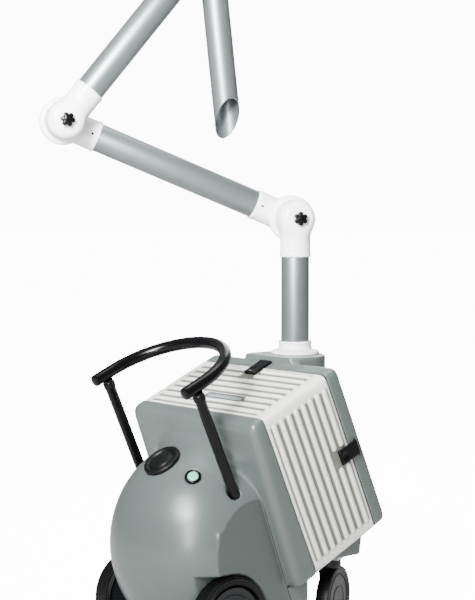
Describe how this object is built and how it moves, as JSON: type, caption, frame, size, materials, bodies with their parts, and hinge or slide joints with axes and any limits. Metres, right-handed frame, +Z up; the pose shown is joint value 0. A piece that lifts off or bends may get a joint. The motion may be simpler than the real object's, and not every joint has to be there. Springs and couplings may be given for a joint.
{
  "type": "mobile fume extractor",
  "caption": "Mobile fume extractor with a swivelling tube arm on friction joints, a round fan housing, a ribbed filter casing, a push handle, wheels and castors.",
  "frame": {"origin": "on the floor midway between the wheels' two sides, below the front housing", "axes": "+X the cart's right side, +Y its rear, +Z up"},
  "size_m": [0.6662, 0.7027, 1.9017],
  "materials": {
    "housing": "satin grey-green moulding",
    "casing": "satin warm white",
    "white": "smooth near-white",
    "black": "satin black",
    "rubber": "black rubber",
    "hub": "dark grey",
    "tube": "anodised",
    "steel": "zinc plated",
    "lens": "frosted mint",
    "filter": "pleated paper",
    "carbon": "black foam",
    "plate": "satin"
  },
  "bodies": {
    "cart": {"filter_casing": "casing", "label_plate": "plate", "front_seal": "rubber", "rear_seal": "rubber", "particle_filter": "filter", "carbon_filter": "carbon", "prefilter_mat": "filter", "front_shell": "housing", "rear_cover": "housing", "front_housing": "housing", "chassis_base": "housing", "exhaust_grille": "black", "power_inlet": "black", "front_axle": "steel", "castor_plate_left": "steel", "castor_plate_right": "steel", "fan_scroll": "black", "fan_motor": "steel", "button_bezel": "black", "power_switch": "black", "lamp_bezel": "black", "lamp_lens": "lens", "handle_post_left": "black", "handle_post_right": "black", "handle_grip": "rubber", "arm_collar": "white"},
    "wheel_left": {"front_tyre_left": "rubber", "front_hub_left": "hub"},
    "wheel_right": {"front_tyre_right": "rubber", "front_hub_right": "hub"},
    "castor_left": {"castor_fork_left": "hub"},
    "castor_right": {"castor_fork_right": "hub"},
    "castor_roller_left": {"castor_wheel_left": "rubber"},
    "castor_roller_right": {"castor_wheel_right": "rubber"},
    "button": {"power_button": "black"},
    "latch_a": {"latch_top": "black"},
    "latch_b": {"latch_right": "black"},
    "latch_c": {"latch_left": "black"},
    "impeller": {"fan_impeller": "black"},
    "column": {"column_tube": "tube", "shoulder_front_half": "white", "shoulder_disc": "black", "shoulder_bolt": "steel"},
    "lower_arm": {"shoulder_rear_half": "white", "lower_arm_tube": "tube", "elbow_rear_half": "white"},
    "upper_arm": {"elbow_front_half": "white", "elbow_disc": "black", "elbow_bolt": "steel", "upper_arm_tube": "tube", "wrist_front_half": "white", "wrist_disc": "black", "wrist_bolt": "steel"},
    "wrist": {"wrist_rear_half": "white"},
    "hood": {"hood_tube": "tube"},
    "knob_shoulder": {"shoulder_knob": "black"},
    "knob_elbow": {"elbow_knob": "black"},
    "knob_wrist": {"wrist_knob": "black"},
    "screw_upper": {"upper_thumb_screw": "black"},
    "screw_hood": {"hood_thumb_screw": "black"}
  },
  "joints": [
    {"name": "wheel_left_spin", "type": "hinge", "parent": "cart", "child": "wheel_left", "pos_m": [-0.1945, -0.065, 0.111], "axis": [1, 0, 0], "continuous": true},
    {"name": "wheel_right_spin", "type": "hinge", "parent": "cart", "child": "wheel_right", "pos_m": [0.1945, -0.065, 0.111], "axis": [1, 0, 0], "continuous": true},
    {"name": "castor_left_swivel", "type": "hinge", "parent": "cart", "child": "castor_left", "pos_m": [-0.155, 0.315, 0.2], "axis": [0, 0, 1], "continuous": true},
    {"name": "castor_right_swivel", "type": "hinge", "parent": "cart", "child": "castor_right", "pos_m": [0.155, 0.315, 0.2], "axis": [0, 0, 1], "continuous": true},
    {"name": "castor_left_spin", "type": "hinge", "parent": "castor_left", "child": "castor_roller_left", "pos_m": [-0.16596, 0.33747, 0.09], "axis": [0.8988, 0.4384, 0], "continuous": true},
    {"name": "castor_right_spin", "type": "hinge", "parent": "castor_right", "child": "castor_roller_right", "pos_m": [0.14404, 0.33747, 0.09], "axis": [0.8988, 0.4384, 0], "continuous": true},
    {"name": "power_button_press", "type": "slide", "parent": "cart", "child": "button", "axis": [0, 0.5908, -0.8068], "range_m": [0, 0.004], "stiffness_N_per_m": 900, "springref_m": -0.004},
    {"name": "latch_top_turn", "type": "hinge", "parent": "cart", "child": "latch_a", "pos_m": [0, 0.22629, 0.71691], "axis": [-1, 0, 0], "range_deg": [0, 90]},
    {"name": "latch_right_turn", "type": "hinge", "parent": "cart", "child": "latch_b", "pos_m": [0.251, 0.3178, 0.51137], "axis": [0, -0.4067, 0.9135], "range_deg": [0, 90]},
    {"name": "latch_left_turn", "type": "hinge", "parent": "cart", "child": "latch_c", "pos_m": [-0.251, 0.3178, 0.51137], "axis": [0, 0.4067, -0.9135], "range_deg": [0, 90]},
    {"name": "impeller_spin", "type": "hinge", "parent": "cart", "child": "impeller", "pos_m": [0, 0.06738, 0.30647], "axis": [0, 0.9384, 0.3456], "continuous": true},
    {"name": "arm_swivel", "type": "hinge", "parent": "cart", "child": "column", "pos_m": [0, 0.332, 0.9], "axis": [0, 0, 1], "continuous": true},
    {"name": "shoulder_fold", "type": "hinge", "parent": "column", "child": "lower_arm", "pos_m": [-0.03725, 0.35139, 1.095], "axis": [0.887, -0.4617, 0], "range_deg": [-62, 30]},
    {"name": "elbow_fold", "type": "hinge", "parent": "lower_arm", "child": "upper_arm", "pos_m": [-0.32094, -0.19357, 1.34948], "axis": [0.887, -0.4617, 0], "range_deg": [-8, 95]},
    {"name": "wrist_fold", "type": "hinge", "parent": "upper_arm", "child": "wrist", "pos_m": [-0.13758, 0.15867, 1.83986], "axis": [-0.887, 0.4617, 0], "range_deg": [-100, 10]},
    {"name": "hood_turn", "type": "hinge", "parent": "wrist", "child": "hood", "pos_m": [-0.17484, 0.17806, 1.83986], "axis": [0.0483, 0.0927, -0.9945], "continuous": true},
    {"name": "shoulder_knob_turn", "type": "hinge", "parent": "column", "child": "knob_shoulder", "pos_m": [-0.03725, 0.35139, 1.095], "axis": [0.887, -0.4617, 0], "range_deg": [-180, 180]},
    {"name": "elbow_knob_turn", "type": "hinge", "parent": "upper_arm", "child": "knob_elbow", "pos_m": [-0.32094, -0.19357, 1.34948], "axis": [0.887, -0.4617, 0], "range_deg": [-180, 180]},
    {"name": "wrist_knob_turn", "type": "hinge", "parent": "upper_arm", "child": "knob_wrist", "pos_m": [-0.13758, 0.15867, 1.83986], "axis": [0.887, -0.4617, 0], "range_deg": [-180, 180]},
    {"name": "upper_screw_turn", "type": "hinge", "parent": "upper_arm", "child": "screw_upper", "pos_m": [-0.12474, 0.09238, 1.77458], "axis": [0.3588, 0.6893, -0.6293], "range_deg": [-180, 180]},
    {"name": "hood_screw_turn", "type": "hinge", "parent": "wrist", "child": "screw_hood", "pos_m": [-0.17078, 0.18585, 1.75632], "axis": [-0.4592, -0.8822, -0.1045], "range_deg": [-180, 180]}
  ]
}
